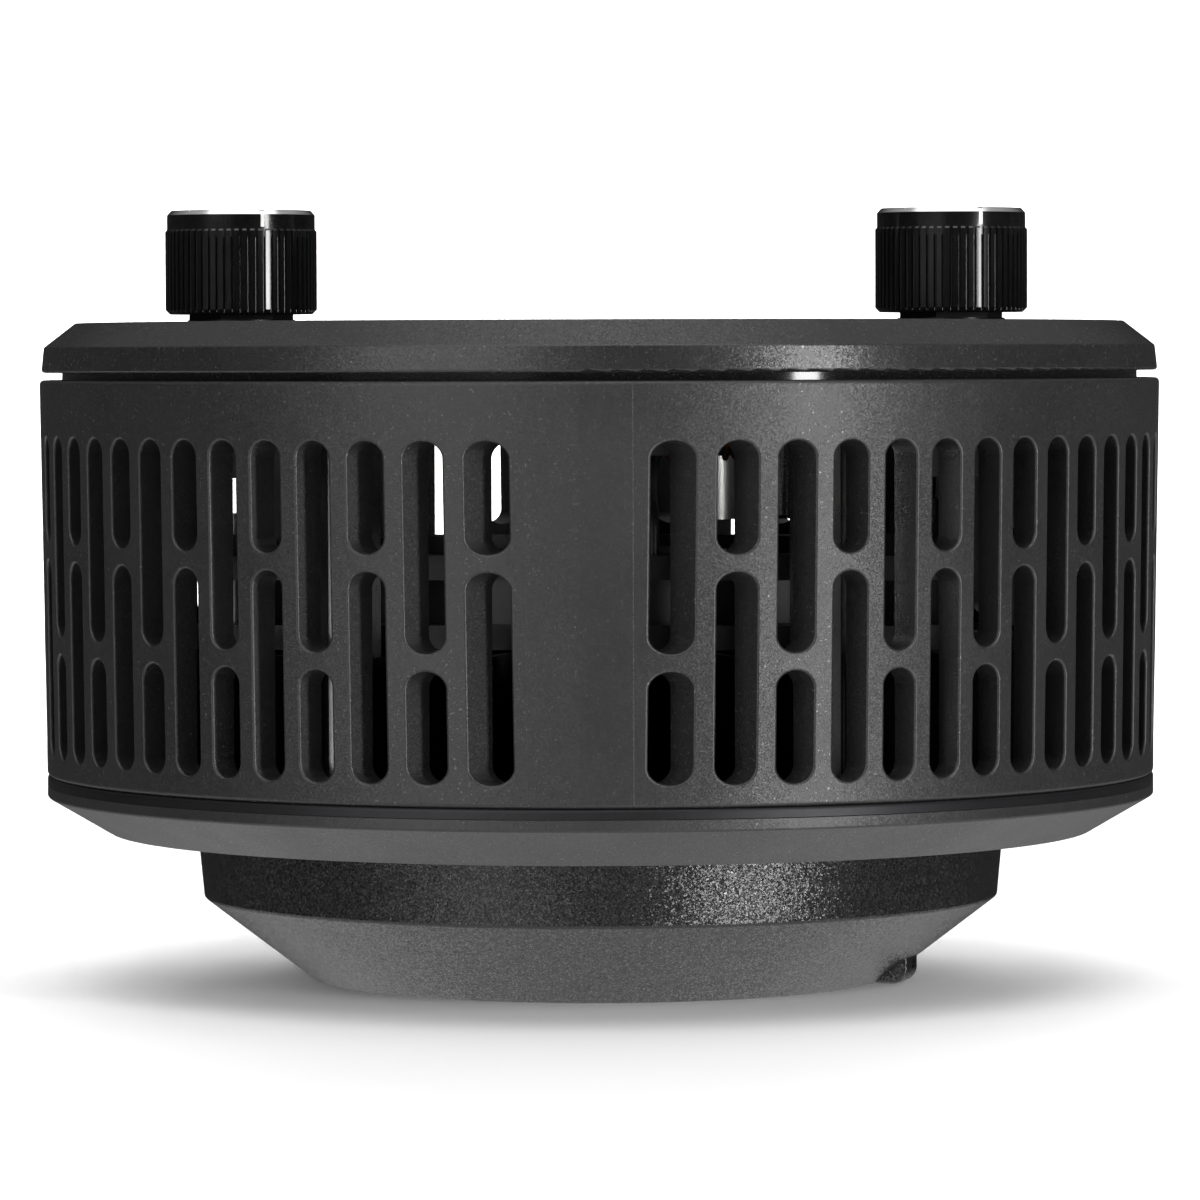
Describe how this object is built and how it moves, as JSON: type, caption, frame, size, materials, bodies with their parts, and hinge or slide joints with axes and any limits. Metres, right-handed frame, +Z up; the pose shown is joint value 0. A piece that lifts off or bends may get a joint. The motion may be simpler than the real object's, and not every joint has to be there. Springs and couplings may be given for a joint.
{
  "type": "aquarium pendant light",
  "caption": "Round aquarium pendant light with a slotted vent ring, fan-cooled heat sink, two control knobs on top and a twist-off conical lens ring below.",
  "frame": {"origin": "centre of the lens ring's bottom rim, in the rim's plane, on the lamp's axis", "axes": "+Z up along the lamp's axis, from the lens towards the knobs; -Y is the front, where the blank panel is; +X is towards the right-hand knob"},
  "size_m": [0.125, 0.125, 0.0855],
  "materials": {
    "housing_plastic": "fine satin texture, dark grey",
    "lens_ring_plastic": "spark texture, near black",
    "gloss_black_plastic": "gloss black",
    "black_anodised": "black anodised",
    "turned_metal": "turned, bright",
    "pointer_white": "white",
    "brass": "turned",
    "steel": "zinc plated",
    "black_screws": "black oxide",
    "plated_metal": "nickel plated",
    "fan_plastic": "black moulded",
    "magnet": "bonded ferrite",
    "copper_windings": "enamelled wire",
    "board_green": "solder mask",
    "board_metal": "white solder mask on aluminium",
    "phosphor": "phosphor yellow",
    "plug_plastic": "black moulded",
    "lead_sleeve": "black sleeve",
    "lens_clear": "clear, polished",
    "seal_rubber": "soft black",
    "reflector_bright": "vacuum metallised"
  },
  "bodies": {
    "housing": {"vent_ring": "housing_plastic", "top_cover": "housing_plastic", "base_cover": "housing_plastic", "heat_sink": "black_anodised", "cover_posts": "steel", "cover_screws": "black_screws", "base_screws": "black_screws", "thermal_pad": "seal_rubber", "led_board": "board_metal", "led_emitter": "phosphor", "led_holder": "pointer_white", "led_screws": "steel", "fan_frame": "fan_plastic", "fan_bearing": "brass", "fan_stator": "copper_windings", "fan_screws": "steel", "fan_nuts": "steel", "power_socket": "plated_metal", "power_pin": "plated_metal", "power_nut": "steel", "mount_insert": "plated_metal", "control_board": "board_green", "board_standoffs": "steel", "board_screws": "steel", "capacitors": "gloss_black_plastic", "inductor": "copper_windings", "driver_chips": "plug_plastic", "board_plugs": "plug_plastic", "fan_leads": "lead_sleeve", "led_leads": "lead_sleeve", "pot_left": "plated_metal", "pot_right": "plated_metal", "pot_nuts": "black_screws", "pot_washers": "black_screws", "pot_boards": "board_green", "pot_plugs": "plug_plastic", "pot_leads": "lead_sleeve", "control_jack_in": "plug_plastic", "control_jack_out": "plug_plastic", "jack_nuts": "turned_metal"},
    "left_control": {"knob_left": "gloss_black_plastic", "knob_cap_left": "turned_metal", "knob_pointer_left": "pointer_white", "knob_bush_left": "brass", "pot_shaft_left": "steel"},
    "right_control": {"knob_right": "gloss_black_plastic", "knob_cap_right": "turned_metal", "knob_pointer_right": "pointer_white", "knob_bush_right": "brass", "pot_shaft_right": "steel"},
    "fan_wheel": {"fan_rotor": "fan_plastic", "fan_magnet": "magnet", "fan_shaft": "steel"},
    "lens_unit": {"lens_ring": "lens_ring_plastic", "ring_tab": "lens_ring_plastic", "lens": "lens_clear", "lens_gasket": "seal_rubber", "reflector": "reflector_bright", "optic_screws": "steel"}
  },
  "joints": [
    {"name": "left_knob_turn", "type": "hinge", "parent": "housing", "child": "left_control", "pos_m": [-0.0391, -0.0118, 0.0741], "axis": [0, 0, 1], "range_deg": [0, 300]},
    {"name": "right_knob_turn", "type": "hinge", "parent": "housing", "child": "right_control", "pos_m": [0.0391, -0.0118, 0.0741], "axis": [0, 0, 1], "range_deg": [0, 300]},
    {"name": "fan_spin", "type": "hinge", "parent": "housing", "child": "fan_wheel", "pos_m": [0, 0, 0.0433], "axis": [0, 0, 1], "continuous": true},
    {"name": "lens_ring_twist", "type": "hinge", "parent": "housing", "child": "lens_unit", "pos_m": [0, 0, 0.0146], "axis": [0, 0, 1], "range_deg": [-30, 0]}
  ]
}
